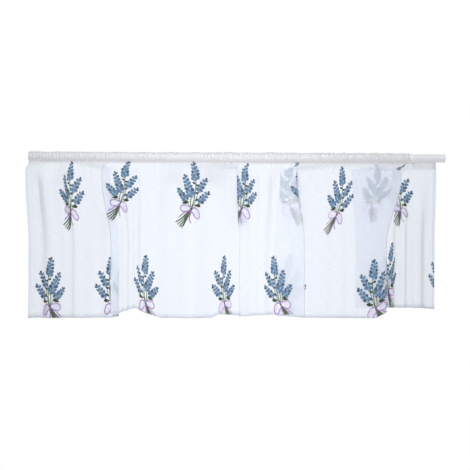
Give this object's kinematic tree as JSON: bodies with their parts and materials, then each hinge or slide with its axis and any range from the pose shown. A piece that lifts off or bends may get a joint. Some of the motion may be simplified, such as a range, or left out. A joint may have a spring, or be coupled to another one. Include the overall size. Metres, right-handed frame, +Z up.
{
  "type": "kitchen curtain on rod",
  "caption": "Sheer white cafe curtain with embroidered flower bunches, gathered by its rod pocket on a plain round white rod.",
  "frame": {"origin": "centre of the rod's left end face", "axes": "+X along the rod from its left end to its right end, +Z up, the viewer stands at -Y"},
  "size_m": [1.007, 0.0715, 0.4009],
  "materials": {
    "voile": "thin sheer white voile, slightly bluish, with embroidered blue flower spikes, green leaves and stems and lilac bows",
    "rod_white": "smooth white lacquer with a soft sheen"
  },
  "bodies": {
    "root": {"curtain": "voile", "rod": "rod_white"}
  },
  "joints": []
}
